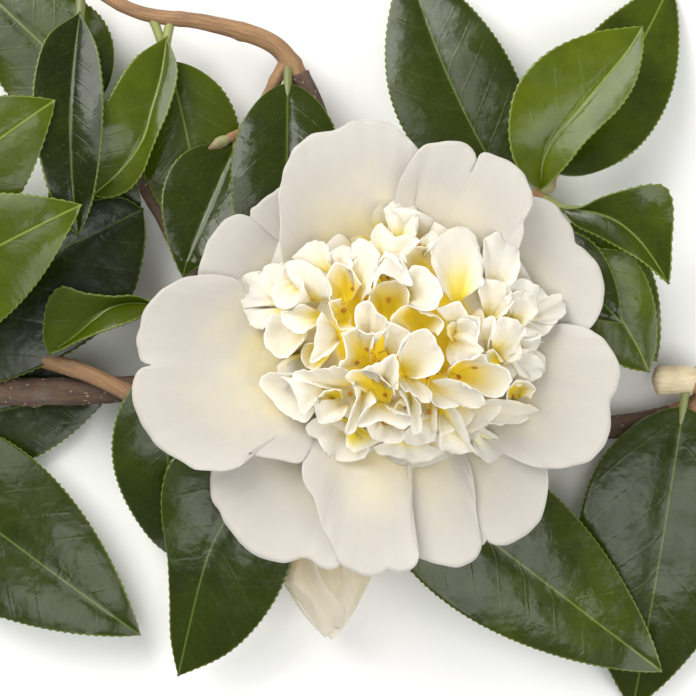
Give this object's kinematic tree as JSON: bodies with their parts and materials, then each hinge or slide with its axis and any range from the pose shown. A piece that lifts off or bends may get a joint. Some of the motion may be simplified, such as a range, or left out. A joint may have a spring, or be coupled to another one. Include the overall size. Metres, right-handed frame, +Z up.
{
  "type": "flowering camellia branch",
  "caption": "Cut camellia branch lying down: one large anemone-form white bloom facing up, a half-open bud, twigs and glossy serrate leaves.",
  "frame": {"origin": "under the middle of the bounding box, on the surface the branch lies on", "axes": "+Z up, the way the bloom faces; +X from the branch's cut end towards its leafy right side"},
  "size_m": [0.1906, 0.1392, 0.0506],
  "materials": {
    "bark": "matt brown bark, finely ridged",
    "young_bark": "smooth orange-brown bark",
    "leaf": "glossy dark green leaf with paler veins and margin",
    "petal_white": "soft white petal",
    "petal_cream": "cream petal, yellow at its foot",
    "calyx": "downy yellow-green scale",
    "bud_petal": "cream and peach petal"
  },
  "bodies": {
    "root": {"main_branch": "bark", "lower_bough": "young_bark", "upper_left_bough": "bark", "top_bough": "bark", "right_bough": "bark", "lower_right_bough": "bark", "left_leaves": "leaf", "lower_left_leaves": "leaf", "inner_left_leaves": "leaf", "upper_left_leaves": "leaf", "top_left_leaves": "leaf", "right_leaves": "leaf", "lower_right_leaves": "leaf", "bottom_leaves": "leaf", "bloom_calyx": "calyx", "bloom_guard_petals": "petal_white", "bloom_centre": "petal_cream", "half_open_bud": "bud_petal"}
  },
  "joints": []
}
